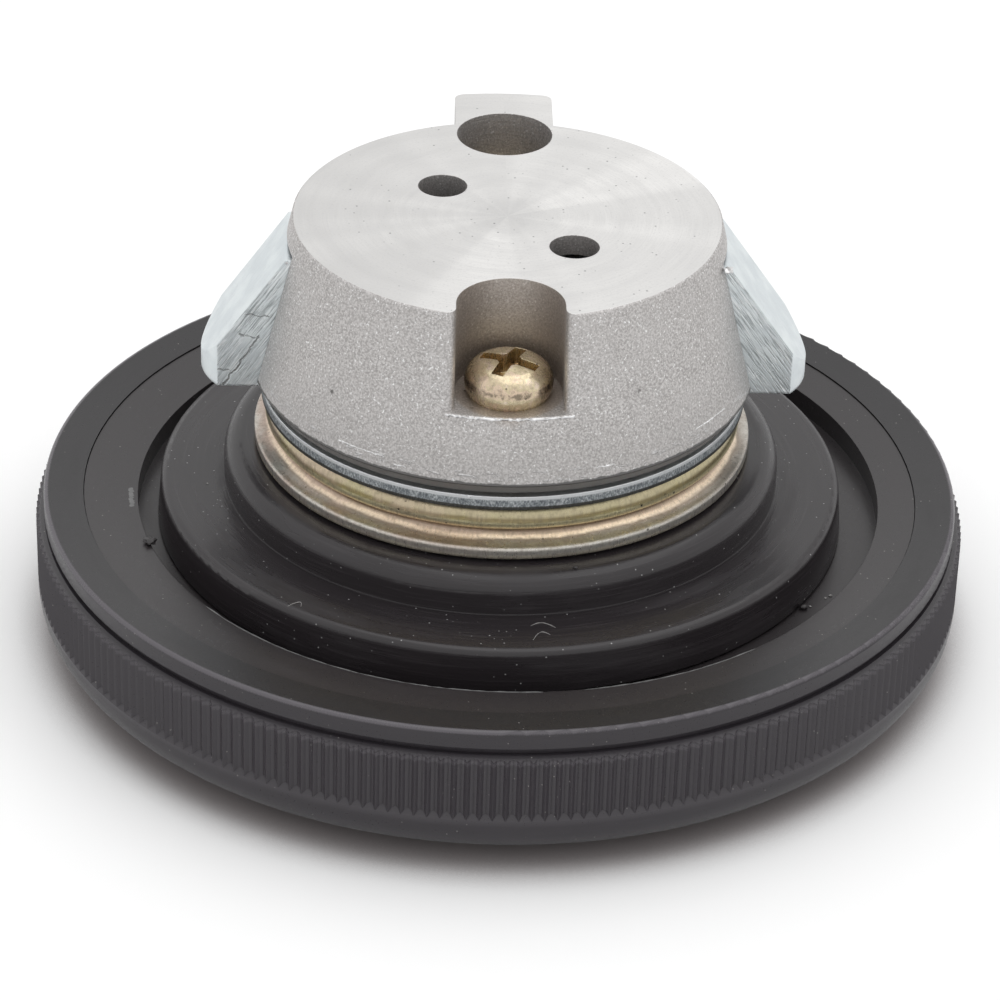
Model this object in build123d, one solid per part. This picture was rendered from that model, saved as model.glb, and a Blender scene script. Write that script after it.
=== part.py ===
from build123d import *
import os
from math import cos, sin, pi, radians, sqrt, tan

# Lockable slam-latch fuel filler cap, lying on its outer face.
# The cap's axis is Z, the latch bolts point along X, the front notch faces -Y. Millimetres.

# --- outer cover: one knurled plastic moulding
cover_h = 16.26         # from the outer face's land up to the rim's outer edge
cover_floor = 3.0       # wall of the outer face
face_border = 16.9      # sloped border round the flat land that the cap lies on
face_rise = 2.2         # how far the outer face has risen at the full radius
skirt_round = 4.0       # round-over between the outer face and the knurl
knurl_r = 48.9
knurl_count = 240
knurl_depth = 0.5
knurl_facets = 4        # flat strips across one round-bottomed flute
knurl_len = 6.75
knurl_fade = 1.2        # height over which the flutes run out at their lower end
knurl_drop = 3.14       # rim down to the top of the full knurl
knurl_chamfer = 0.46
rim_inset = 0.85        # rim lies this far inside the knurl
rim_w = 4.15
rim_round = 0.45
rim_band = 1.96         # smooth band above the shadow groove
rim_dish = 0.5          # the rim's top falls this much towards the seam
rim_groove_depth = 0.45
floor_drop = 0.8        # inside of the floor rises this much less than the face
face_recess_r = 20.0    # recess for the lock face
face_recess_d = 3.2
recess_wall = 2.5       # wall of the boss around that recess
boss_h = 7.2            # boss top, which carries the inner body

# --- inner body: moulded carrier with the gasket recess
body_fit = 0.05         # gap at the seam between cover and inner body
rim_step = 0.15         # inner body sits this far below the rim at the seam
body_dish = 0.75        # fall of the inner body's top towards the recess
seat_drop = 3.66        # rim down to the gasket seat
ledge_w = 4.8           # flat ledge between the seam and the gasket recess
recess_offset = 0.9     # the gasket recess is off the cap's axis along X
web_t = 2.8
wall_foot = 5.9         # height of the inner body's wall foot above the floor
wall_t = 3.2
hub_r = 22.5
rib_count = 8
rib_t = 2.0

# --- gasket
soft_gap = 0.3          # rubber stands this far off its neighbours
gasket_moat = 3.0       # groove between gasket and recess wall
gasket_draft = 0.4
flange_above_rim = 1.24
flange_round = 0.8
collar_r = 29.1
collar_round = 1.9
collar_h = 4.1

# --- gasket cup: pressed sheet
sheet_t = 1.2
cup_flange_r = 25.9
cup_bead_r = 24.8
cup_valley_r = 24.05
cup_h = 5.35
cup_valley_h = 2.3      # cup's lower face up to the valley
cup_bead_drop = 1.9     # crown down to the bead's widest point

# --- thrust washer
washer_t = 1.5
washer_r = 25.2
washer_clear = 0.8      # bore's gap round the barrel's clip

# --- lock housing: tapered die casting
housing_top_r = 22.0
housing_low_r = 26.0
housing_h = 18.35       # washer to machined top
housing_relief = 0.5    # the casting's outer edge stands off the washer
seat_r = 22.6
low_chamfer_r = 0.85
low_chamfer_h = 1.2
top_chamfer = 0.15
screw_pcr = 19.0        # screws in front and behind, this far from the axis
notch_w = 10.8
notch_lip = 1.0
notch_floor_h = 8.55    # washer to the floor of notch and pocket
pocket_d = 10.1
lug_w = 10.4
lug_r = 29.0
lug_round = 1.1
vent_d = 5.1
vent_pcr = 9.35
vent_angle = 135.0
vent_depth = 7.0
bolt_side_gap = 0.15
bolt_roof_gap = 0.5
cam_cavity_r = 9.0
cam_cavity_h = 9.4
spring_wall_t = 4.0     # wall between the two springs

# --- latch bolts
bolt_w = 10.9
bolt_nose = 31.4        # nose's reach from the axis
bolt_nose_r = 8.7       # nose rounding in plan
bolt_lift = 1.1         # washer to the bolt's lower face
bolt_h = 14.55
bolt_land = 2.0         # height of the nose's upright face
bolt_slope = 54.6       # ramp angle above the floor
bolt_root = 11.0        # inner end of the bolt's head
latch_travel = 5.2
tail_t = 2.8
tail_z = 5.25           # washer to the tail's lower face
tail_side = 0.35
tail_end_wall = 1.2

# --- bolt springs
spring_r = 2.4
spring_wire = 0.6
spring_turns = 6.0
spring_pocket_r = 3.1
spring_pocket_d = 7.2
spring_z = 12.3         # washer to the springs' axis
spring_end_gap = 0.3

# --- screws, M5 pan head
screw_r = 2.45
screw_len = 22.0
head_r = 4.45
head_base_r = 4.1
head_waist = 1.3        # seat up to the head's widest ring
head_h = 3.7
cross_w = 1.35
cross_len = 6.1
cross_core_r = 1.2
cross_depth = 2.0
cross_turn = -25.0
screw_gap = 0.05
screw_clear = 0.3

# --- lock barrel and its retaining ring and O-ring
barrel_r = 11.5
barrel_gap = 0.05
barrel_flange_w = 3.5
barrel_flange_t = 2.0
barrel_end = 0.2        # the barrel's end lies this far below the housing
clip_w = 2.6
clip_t = 1.0
clip_groove = 0.9
clip_gap = 0.05
clip_opening = 50.0
oring_z = 11.5
oring_r = 0.75
oring_groove_d = 2.1
oring_groove_w = 2.2

# --- key plug, wafers and driver
plug_r = 7.0
plug_gap = 0.06
plug_above = 0.55       # plug's shoulder above the barrel's end
keyway_w = 2.4
keyway_h = 9.0
keyway_depth = 21.0
wafer_count = 6
wafer_t = 1.0
wafer_pitch = 2.8
wafer_w = 3.4
wafer_len = 13.2
wafer_start = 8.0
wafer_gap = 0.05
wafer_window_w = 1.5
wafer_window_h = 6.4
driver_clear = 0.2      # disc's gap to the bolts when they are drawn in
driver_t = 2.5
tail_r = 2.6
tail_flat = 2.1
pin_r = 0.9
pin_h = 5.1
pin_slack = 0.2
cam_screw_r = 1.5
cam_screw_head_r = 2.35
cam_screw_head_h = 1.6
cam_screw_len = 8.0
cam_slot_w = 0.7
cam_slot_d = 0.7

# --- lock face plate, dust cover and its rivet
plate_t = 1.0
plate_gap = 0.1
dust_t = 0.9
dust_gap = 0.15
dust_r = 5.9
dust_clear = 0.4        # swung cover's gap to the recess wall
dust_eye_r = 3.2
rivet_r = 1.5
rivet_gap = 0.06
rivet_head_r = 2.8
rivet_head_t = 0.5
wave_t = 0.25
wave_r = 2.6
wave_gap = 0.05
rivet_floor = 0.2       # metal left under the rivet in the barrel's flange

# --- radii that follow from the sizes above
land_r = knurl_r - face_border
rim_r = knurl_r - rim_inset
rim_inner_r = rim_r - rim_w
recess_r = rim_inner_r - ledge_w
gasket_r = recess_r - gasket_moat
barrel_flange_r = barrel_r + barrel_flange_w
clip_r = barrel_r - clip_groove + clip_w
washer_bore = clip_r + washer_clear
driver_r = bolt_root - latch_travel - driver_clear
dust_pivot = (face_recess_r - dust_r - dust_clear) * cos(radians(45))
rivet_grip = barrel_flange_t - rivet_floor

# --- levels that follow from the sizes above
body_top = cover_h - rim_dish - rim_step
seat_z = cover_h - seat_drop
gasket_z = seat_z + soft_gap
flange_z = cover_h + flange_above_rim
collar_z = flange_z + collar_h
cup_z = collar_z + soft_gap + 0.1
crown_z = cup_z + cup_h
hub_top = crown_z - sheet_t
washer_z = crown_z
base_z = washer_z + washer_t
top_z = base_z + housing_h
notch_z = base_z + notch_floor_h
bolt_z = base_z + bolt_lift
bolt_top = bolt_z + bolt_h
barrel_top = base_z - barrel_end
plug_top = barrel_top + plug_above + barrel_end
driver_top = plug_top + driver_t
plate_z = face_recess_d - plate_t
pin_pcr = latch_travel / (2 * sin(radians(45)))
pin_x = pin_pcr * cos(radians(45))
cavity_z = base_z + cam_cavity_h


def ring(r_out, r_in, z, h):
    """Flat ring standing on height z."""
    return Pos(0, 0, z) * extrude(Circle(r_out) - Circle(r_in), h)


def disc(r, z, h, x=0.0, y=0.0):
    """Upright cylinder standing on height z."""
    return Pos(x, y, z) * extrude(Circle(r), h)


def block(x0, x1, y0, y1, z0, z1):
    """Box between two corners."""
    centre = Pos((x0 + x1) / 2, (y0 + y1) / 2, (z0 + z1) / 2)
    return centre * Box(x1 - x0, y1 - y0, z1 - z0)


def turned(*points):
    """Solid of revolution about Z from (radius, height) points."""
    outline = Polyline(*[(r, 0, z) for r, z in points], close=True)
    return revolve(make_face(outline), Axis.Z)


def turned_round(points, rounds):
    """Like turned(), with the numbered corners rounded by the given radii."""
    face = make_face(Polyline(*points, close=True))
    for index, radius in rounds:
        corner = face.vertices().sort_by_distance(Vector(*points[index], 0))[0]
        face = fillet(corner, radius)
    return revolve(Plane.XZ * face, Axis.Z)


def knurl_prism(z, h):
    """Prism with narrow ridges and broad round-bottomed flutes between them."""
    step = 2 * pi / (knurl_count * knurl_facets)
    points = []
    for i in range(knurl_count * knurl_facets):
        r = knurl_r - knurl_depth * sin(pi * (i % knurl_facets) / knurl_facets)
        points.append((r * cos(i * step), r * sin(i * step)))
    return Pos(0, 0, z) * extrude(make_face(Polyline(*points, close=True)), h)


def cover_shell():
    """Knurled cover with its rim, shadow groove, domed face and central boss."""
    knurl_top = cover_h - knurl_drop
    knurl_low = knurl_top - knurl_len
    groove_low = knurl_top + knurl_chamfer
    groove_top = cover_h - rim_band
    root_r = knurl_r - 2 * knurl_depth
    skirt = [
        (face_recess_r, 0), (land_r, 0), (knurl_r, face_rise), (knurl_r, knurl_low),
        (root_r, knurl_low + knurl_fade), (root_r, groove_low), (rim_r - rim_groove_depth, groove_low),
        (rim_r - rim_groove_depth, groove_top), (rim_r, groove_top),
        (rim_r, cover_h), (rim_inner_r, cover_h - rim_dish),
        (rim_inner_r, cover_floor + face_rise - floor_drop), (land_r + cover_floor, cover_floor),
        (face_recess_r + recess_wall, cover_floor), (face_recess_r + recess_wall, boss_h),
        (barrel_r + barrel_gap, boss_h), (barrel_r + barrel_gap, face_recess_d + barrel_flange_t),
        (barrel_flange_r + barrel_gap, face_recess_d + barrel_flange_t),
        (barrel_flange_r + barrel_gap, face_recess_d), (face_recess_r, face_recess_d),
    ]
    shell = turned_round(skirt, [(2, skirt_round), (9, rim_round)])
    band = turned(
        (root_r - 1, knurl_low), (knurl_r + 1, knurl_low), (knurl_r + 1, knurl_top - knurl_chamfer / 2),
        (rim_r, groove_low), (root_r - 1, groove_low),
    )
    return shell + (band & knurl_prism(knurl_low, knurl_len + knurl_chamfer))


def inner_body():
    """Moulded carrier: wall, web with the gasket recess, hub and ribs below."""
    out_r = rim_inner_r - body_fit
    web_z = seat_z - web_t
    body = ring(out_r, barrel_r + barrel_gap, web_z, body_top - web_z)
    body += ring(out_r, out_r - wall_t, wall_foot, web_z - wall_foot)
    body += ring(hub_r, barrel_r + barrel_gap, boss_h, hub_top - boss_h)
    rib = block(hub_r - 1, out_r - wall_t + 1, -rib_t / 2, rib_t / 2, wall_foot, web_z)
    for i in range(rib_count):
        body += Rot(0, 0, (i + 0.5) * 360 / rib_count) * rib
    body -= disc(face_recess_r + recess_wall + body_fit, 0, boss_h)
    body -= disc(recess_r, seat_z, cover_h, recess_offset) - disc(hub_r, 0, top_z)
    dish = turned((0, body_top - body_dish), (recess_r - 1, body_top - body_dish), (out_r, body_top),
                  (out_r + 1, body_top), (out_r + 1, cover_h), (0, cover_h))
    body -= dish - disc(hub_r, 0, top_z)
    low = hub_top - screw_depth() - 1
    for side in (-1, 1):
        body -= disc(screw_r + screw_gap, low, top_z, 0, side * screw_pcr)
    return body


def screw_depth():
    """How far the housing screws reach below the hub's top."""
    return screw_len - (notch_z - hub_top)


def gasket():
    """Stepped rubber ring: broad flange, upright collar."""
    bore = hub_r + soft_gap + 0.1
    points = [
        (bore, gasket_z), (gasket_r, gasket_z), (gasket_r - gasket_draft, flange_z),
        (collar_r, flange_z), (collar_r, collar_z), (bore, collar_z),
    ]
    return turned_round(points, [(2, flange_round), (4, collar_round)])


def gasket_cup():
    """Pressed hat that holds the gasket: flared brim, valley, rolled bead, crown."""
    inner = hub_r + soft_gap
    bead_z = crown_z - cup_bead_drop
    outer = Spline(
        (cup_flange_r - 0.05, cup_z + sheet_t), (cup_valley_r + 0.6, cup_z + sheet_t + 0.4),
        (cup_valley_r, cup_z + cup_valley_h), (cup_bead_r - 0.15, bead_z - 0.55),
        (cup_bead_r, bead_z),
        tangents=[(-1, 0.1), (0, 1)],
    )
    shoulder = Spline(outer @ 1, (cup_bead_r - cup_bead_drop, crown_z), tangents=[(0, 1), (-1, 0)])
    rest = Polyline(
        shoulder @ 1, (barrel_r + clip_gap, crown_z), (barrel_r + clip_gap, hub_top),
        (inner, hub_top), (inner, cup_z), (cup_flange_r - 0.1, cup_z),
        (cup_flange_r, cup_z + 0.15), (cup_flange_r, cup_z + sheet_t - 0.1), outer @ 0,
    )
    cup = revolve(Plane.XZ * make_face([outer, shoulder, rest]), Axis.Z)
    for side in (-1, 1):
        cup -= disc(screw_r + screw_clear, cup_z, top_z, 0, side * screw_pcr)
    return cup


def thrust_washer():
    """Flat zinc ring that closes the bolt slots from below."""
    washer = ring(washer_r, washer_bore, washer_z, washer_t)
    for side in (-1, 1):
        washer -= disc(screw_r + screw_clear, washer_z, top_z, 0, side * screw_pcr)
    return washer


def lock_housing():
    """Die casting: tapered drum, bolt slots, notch, lug with its pocket, cam cavity."""
    low_z = base_z + housing_relief
    drum = turned(
        (0, base_z), (seat_r, base_z), (seat_r, low_z), (housing_low_r - low_chamfer_r, low_z),
        (housing_low_r, low_z + low_chamfer_h),
        (housing_top_r, top_z - top_chamfer), (housing_top_r - top_chamfer, top_z), (0, top_z),
    )
    lug = disc(lug_r, low_z, top_z - low_z) & block(
        -lug_w / 2, lug_w / 2, screw_pcr, lug_r + 1, low_z, top_z)
    tips = [e for e in lug.edges().filter_by(Axis.Z) if e.center().Y > screw_pcr + 1]
    drum += fillet(tips, lug_round)
    notch = disc(notch_w / 2, notch_z, top_z, 0, -screw_pcr)
    notch += block(-notch_w / 2, notch_w / 2, -2 * housing_low_r, -screw_pcr, notch_z, top_z + notch_z)
    drum -= notch
    lips = [e for e in drum.edges() if is_notch_lip(e)]
    drum = fillet(lips, notch_lip)
    drum -= disc(pocket_d / 2, notch_z, top_z, 0, screw_pcr)
    for side in (-1, 1):
        drum -= disc(screw_r + screw_clear, 0, top_z, 0, side * screw_pcr)
    half = bolt_w / 2 + bolt_side_gap
    roof = bolt_top + bolt_roof_gap
    slot = block(-lug_r, lug_r, -half, half, base_z - 1, roof)
    slot -= block(-spring_wall_t / 2, spring_wall_t / 2, -half, half, cavity_z, roof)
    drum -= slot
    drum -= disc(cam_cavity_r, base_z - 1, cam_cavity_h + 1)
    for turn in (0, 180):
        a = radians(vent_angle + turn)
        x = vent_pcr * cos(a)
        y = vent_pcr * sin(a)
        drum -= disc(vent_d / 2, top_z - vent_depth, vent_depth + 1, x, y)
    return drum


def is_notch_lip(edge):
    """True for the two upright edges where the notch breaks through the taper."""
    box = edge.bounding_box()
    tall = box.max.Z - box.min.Z > (top_z - notch_z) * 0.8
    return tall and edge.center().Y < -screw_pcr and abs(abs(edge.center().X) - notch_w / 2) < 0.1


def latch_bolt():
    """Right-hand bolt: ramped head with a rounded nose, tail with its long window."""
    land_z = bolt_z + bolt_land
    ramp = (bolt_top - land_z) / tan(radians(bolt_slope))
    side = Polyline(
        (bolt_root, bolt_z), (bolt_nose, bolt_z), (bolt_nose, land_z),
        (bolt_nose - ramp, bolt_top), (bolt_root, bolt_top), close=True)
    head = extrude(Plane.XZ * make_face(side), bolt_w / 2, both=True)
    half = bolt_w / 2
    corner = bolt_nose - bolt_nose_r + sqrt(bolt_nose_r ** 2 - half ** 2)
    plan = Polyline((corner, half), (bolt_root, half), (bolt_root, -half), (corner, -half))
    nose = ThreePointArc((corner, -half), (bolt_nose, 0), (corner, half))
    head &= Pos(0, 0, bolt_z) * extrude(make_face([plan, nose]), bolt_h)
    spring_bore = Cylinder(spring_pocket_r, spring_pocket_d, align=(Align.CENTER, Align.CENTER, Align.MIN))
    head -= Pos(bolt_root, 0, base_z + spring_z) * Rot(0, 90, 0) * spring_bore
    window_x = pin_x - pin_r - pin_slack
    tail = block(window_x - tail_end_wall, bolt_root, tail_side, half, base_z + tail_z,
                 base_z + tail_z + tail_t)
    tail -= block(window_x, pin_x + pin_r + pin_slack + latch_travel,
                  pin_x - pin_r - pin_slack, pin_pcr + pin_r + pin_slack,
                  base_z + tail_z, base_z + tail_z + tail_t)
    return head + tail


def bolt_spring():
    """Right-hand coil between the housing's centre wall and the bolt's pocket."""
    start = spring_wall_t / 2 + spring_end_gap + spring_wire / 2
    end = bolt_root + spring_pocket_d - spring_end_gap - spring_wire / 2
    length = end - start
    path = Helix(length / spring_turns, length, spring_r)
    wire = Plane(path @ 0, z_dir=path % 0) * Rectangle(spring_wire, spring_wire)
    coil = sweep(wire, path, is_frenet=True)
    return Pos(start, 0, base_z + spring_z) * Rot(0, 90, 0) * coil


def pan_screw(side):
    """M5 pan-head screw with a cross recess, in front (-1) or behind (1)."""
    z = notch_z
    waist = z + head_waist
    top = z + head_h
    brow = (head_r * 0.6, top - 0.07 * head_h)
    profile = make_face([
        Polyline((0, z - screw_len), (screw_r, z - screw_len), (screw_r, z), (head_base_r, z)),
        ThreePointArc((head_base_r, z), (head_r - 0.08, z + head_waist / 2), (head_r, waist)),
        ThreePointArc((head_r, waist), (head_r * 0.89, top - 0.26 * head_h), brow),
        ThreePointArc(brow, (brow[0] / 2, top - 0.02 * head_h), (0, top)),
        Line((0, top), (0, z - screw_len)),
    ])
    screw = revolve(Plane.XZ * profile, Axis.Z)
    cross = Rectangle(cross_len, cross_w) + Rectangle(cross_w, cross_len) + Circle(cross_core_r)
    screw -= Pos(0, 0, top) * extrude(Rot(0, 0, cross_turn) * cross, -cross_depth, taper=8)
    return Pos(0, side * screw_pcr, 0) * screw


def lock_barrel():
    """Stator of the lock: flange, O-ring groove, ring groove, plug bore."""
    flange_top = face_recess_d + barrel_flange_t
    barrel = ring(barrel_flange_r, plug_r + plug_gap, face_recess_d, barrel_flange_t)
    barrel += ring(barrel_r, plug_r + plug_gap, flange_top, barrel_top - flange_top)
    barrel -= ring(barrel_r + 1, barrel_r - oring_groove_d, oring_z - oring_groove_w / 2, oring_groove_w)
    barrel -= ring(barrel_r + 1, barrel_r - clip_groove, crown_z, clip_t + 2 * clip_gap)
    barrel -= disc(rivet_r + clip_gap, face_recess_d, rivet_grip, 0, dust_pivot)
    return barrel


def barrel_o_ring():
    """Rubber ring in the barrel's groove."""
    return Pos(0, 0, oring_z) * Torus(barrel_r - oring_groove_d / 2, oring_r)


def barrel_clip():
    """Open spring ring that holds the barrel above the cup's crown."""
    inner = barrel_r - clip_groove + clip_gap
    ring_solid = ring(inner + clip_w, inner, crown_z + clip_gap, clip_t)
    gap = block(0, 2 * barrel_r, -3, 3, crown_z, crown_z + 2 * clip_t)
    return ring_solid - Rot(0, 0, clip_opening) * gap


def wafer_slots(gap):
    """Flat wafers across the plug, larger all round by gap."""
    slots = []
    for i in range(wafer_count):
        z = wafer_start + i * wafer_pitch
        slots.append(block(-wafer_w / 2 - gap, wafer_w / 2 + gap, -wafer_len / 2 - gap,
                           wafer_len / 2 + gap, z - gap, z + wafer_t + gap))
    return slots


def key_plug():
    """Rotor with its keyway, wafer slots and flatted tail."""
    plug = disc(plug_r, plate_z, plug_top - plate_z)
    tail = disc(tail_r, plug_top, driver_t) & block(
        -tail_flat, tail_flat, -tail_r, tail_r, plug_top, driver_top)
    plug += tail
    plug -= block(-keyway_w / 2, keyway_w / 2, -keyway_h / 2, keyway_h / 2, plate_z,
                  plate_z + keyway_depth)
    for slot in wafer_slots(wafer_gap):
        plug -= slot
    plug -= disc(cam_screw_r + screw_gap, driver_top - cam_screw_len - 0.5, cam_screw_len + 1)
    return plug


def wafer_tumblers():
    """Six wafers at the shear line, each with its key window."""
    window = block(-wafer_window_w / 2, wafer_window_w / 2, -wafer_window_h / 2,
                   wafer_window_h / 2, 0, top_z)
    return Compound(children=[wafer - window for wafer in wafer_slots(0)])


def cam_driver():
    """Disc on the plug's tail with the two pins that draw the bolts in."""
    cam = disc(driver_r, plug_top, driver_t)
    hole = disc(tail_r + screw_gap, plug_top, driver_t) & block(
        -tail_flat - screw_gap, tail_flat + screw_gap, -driver_r, driver_r, plug_top, driver_top)
    cam -= hole
    for side in (-1, 1):
        cam += disc(pin_r, driver_top - 0.5, pin_h + 0.5, side * pin_x, side * pin_x)
    return cam


def cam_screw():
    """Slotted screw that holds the driver on the tail."""
    screw = disc(cam_screw_r, driver_top - cam_screw_len, cam_screw_len)
    screw += disc(cam_screw_head_r, driver_top, cam_screw_head_h)
    slot = block(-cam_screw_head_r, cam_screw_head_r, -cam_slot_w / 2, cam_slot_w / 2,
                 driver_top + cam_screw_head_h - cam_slot_d, driver_top + cam_screw_head_h)
    return screw - slot


def lock_face_plate():
    """Zinc disc round the keyhole, in the cover's recess."""
    plate = ring(face_recess_r - plate_gap, plug_r + plug_gap, plate_z, plate_t)
    return plate - disc(rivet_r + clip_gap, plate_z, plate_t, 0, dust_pivot)


def dust_cover():
    """Swinging plate over the keyhole."""
    z = plate_z - dust_gap - dust_t
    blade = Circle(dust_r) + Pos(0, dust_pivot) * Circle(dust_eye_r)
    blade += make_hull(blade.edges())
    plate = Pos(0, 0, z) * extrude(blade, dust_t)
    return plate - disc(rivet_r + rivet_gap, z, dust_t, 0, dust_pivot)


def dust_cover_washer():
    """Spring washer between the dust cover and the rivet's head."""
    z = plate_z - dust_gap - dust_t - wave_gap - wave_t
    return Pos(0, dust_pivot, 0) * ring(wave_r, rivet_r + rivet_gap, z, wave_t)


def dust_cover_rivet():
    """Rivet the dust cover swings on."""
    head_z = plate_z - dust_gap - dust_t - 2 * wave_gap - wave_t
    top = face_recess_d + rivet_grip
    rivet = disc(rivet_r, head_z, top - head_z, 0, dust_pivot)
    head = disc(rivet_head_r, head_z - rivet_head_t, rivet_head_t, 0, dust_pivot)
    edge = head.edges().group_by(Axis.Z)[0]
    return rivet + fillet(edge, rivet_head_t * 0.6)


parts = {
    "cover_shell": cover_shell(),
    "inner_body": inner_body(),
    "gasket": gasket(),
    "gasket_cup": gasket_cup(),
    "thrust_washer": thrust_washer(),
    "lock_housing": lock_housing(),
    "latch_bolt_right": latch_bolt(),
    "latch_bolt_left": Rot(0, 0, 180) * latch_bolt(),
    "bolt_spring_right": bolt_spring(),
    "bolt_spring_left": Rot(0, 0, 180) * bolt_spring(),
    "screw_front": pan_screw(-1),
    "screw_back": pan_screw(1),
    "lock_barrel": lock_barrel(),
    "barrel_o_ring": barrel_o_ring(),
    "barrel_clip": barrel_clip(),
    "key_plug": key_plug(),
    "wafer_tumblers": wafer_tumblers(),
    "cam_driver": cam_driver(),
    "cam_screw": cam_screw(),
    "lock_face_plate": lock_face_plate(),
    "dust_cover": dust_cover(),
    "dust_cover_washer": dust_cover_washer(),
    "dust_cover_rivet": dust_cover_rivet(),
}

os.makedirs("parts", exist_ok=True)
for name, shape in parts.items():
    export_step(shape, f"parts/{name}.step")
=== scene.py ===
import math
import random

import bmesh
import bpy
from mathutils import Matrix, Vector


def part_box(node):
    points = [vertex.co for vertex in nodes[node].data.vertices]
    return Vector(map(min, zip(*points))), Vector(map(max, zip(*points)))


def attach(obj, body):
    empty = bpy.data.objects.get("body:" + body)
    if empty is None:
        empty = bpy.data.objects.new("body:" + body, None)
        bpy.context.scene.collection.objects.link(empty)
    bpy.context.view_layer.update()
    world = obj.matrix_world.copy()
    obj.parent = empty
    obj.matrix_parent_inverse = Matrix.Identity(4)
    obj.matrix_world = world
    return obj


# Finishes, small marks, light and camera for the lockable fuel filler cap.
# Metres, in the CAD's own frame: the cap lies on its outer face and the photo was taken from -y.

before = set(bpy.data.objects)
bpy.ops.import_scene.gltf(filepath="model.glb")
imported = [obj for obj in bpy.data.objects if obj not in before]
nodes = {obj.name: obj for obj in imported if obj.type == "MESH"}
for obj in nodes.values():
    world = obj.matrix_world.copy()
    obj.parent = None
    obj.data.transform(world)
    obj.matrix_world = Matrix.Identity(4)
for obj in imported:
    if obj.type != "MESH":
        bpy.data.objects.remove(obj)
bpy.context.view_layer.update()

MM = 0.001

# --- levels and radii, read from the frame
CUP_LOW, CUP_HIGH = (corner.z for corner in map(Vector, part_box("gasket_cup")))
HOUSING_LOW, HOUSING_TOP = (corner.z for corner in map(Vector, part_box("lock_housing")))
RIM_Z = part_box("cover_shell")[1][2]
BOLT_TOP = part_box("latch_bolt_right")[1][2]
WASHER_LOW, WASHER_TOP = (corner.z for corner in map(Vector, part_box("thrust_washer")))
SCREW_Y = (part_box("screw_back")[0][1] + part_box("screw_back")[1][1]) / 2

# --- other levels and radii, where the finishes change
WRAP_R = 30 * MM            # radius at which places unrolled round the axis keep their size
NOTCH_R = 5.7 * MM          # screw notch and pocket
SCREW_HEAD = 3.7 * MM       # top of the front screw above the notch floor
SCREW_REFLECTION_Z = 39.1 * MM   # height of the painted dark reflection band round the screw heads
RIM_R = 47.85 * MM          # corner of the cover's rim
KNURL_R = RIM_R + 0.45 * MM
KNURL_TOP = 12.95 * MM
KNURL_FOOT = KNURL_TOP - 7.0 * MM
WASHER_R = 25.0 * MM        # just inside the thrust washer's edge
LIP_R = 26.15 * MM          # the casting's undercut lip lies inside this radius
LIP_TOP = HOUSING_LOW + 2.12 * MM
LIP_BEND = HOUSING_LOW + 1.45 * MM
BOLT_RAMP = math.radians(35.4)
RIGHT_TO_LEFT = (8 * MM, -20 * MM)   # x over which some tones change towards the left

# --- marks, by angle in degrees round the axis from the front to the right
# cast flash: first angle, last angle, height in millimetres
CAST_FLASHES = [(-41.0, -28.5, 31.8), (-26.0, -23.0, 31.3), (20.0, 24.5, 31.8), (48.0, 60.0, 32.3)]
# the gasket recess is off the axis to the right; its pale flash: first angle, last angle
RECESS_R = 39.17 * MM
RECESS_OFFSET = 0.9 * MM
RECESS_FLASHES = [(-52, 4), (10, 38)]
# cracks on the left bolt's flank: two (x, z) ends and a width, in millimetres
LEFT_CRACKS = [
    ((-28.9, 30.0), (-25.2, 35.7), 0.15), ((-27.2, 35.9), (-25.4, 35.7), 0.11),
    ((-26.6, 38.1), (-24.2, 38.3), 0.10), ((-29.9, 31.9), (-28.2, 31.7), 0.11),
]
# crumbs: node, angle, radius and size in millimetres, material
CRUMBS = [
    ("inner_body", -71.6, 38.3, 1.5, "plastic"), ("inner_body", -69.4, 38.0, 1.1, "plastic"),
    ("inner_body", 63.4, 37.9, 0.40, "dust"), ("inner_body", 62.4, 37.6, 0.28, "dust"),
    ("inner_body", 57.7, 36.5, 0.9, "plastic"),
    ("inner_body", 58.9, 36.9, 0.28, "dust"), ("gasket", -82.0, 31.0, 0.2, "dust"),
    ("gasket", 14.6, 27.5, 0.55, "plastic"),
]
FIBRE_STEPS = 12
# dust fibres: two (angle, radius) ends, the radius in millimetres
FIBRES = [((4.7, 31.1), (9.1, 31.7)), ((4.6, 33.7), (7.7, 32.9)), ((-37.8, 35.3), (-36.0, 34.6))]

# --- camera, as the photograph was taken
CAM_LENS = 147.6
CAM_SENSOR = 36.0
CAM_CLIP = 0.01
CAM_PLACE = Vector((0.078, -373.37, 237.31)) * MM
CAM_DOWN = math.radians(30.95)
CAM_ROLL = math.radians(1.72)
CAM_TURN = math.radians(-1.8)


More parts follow.
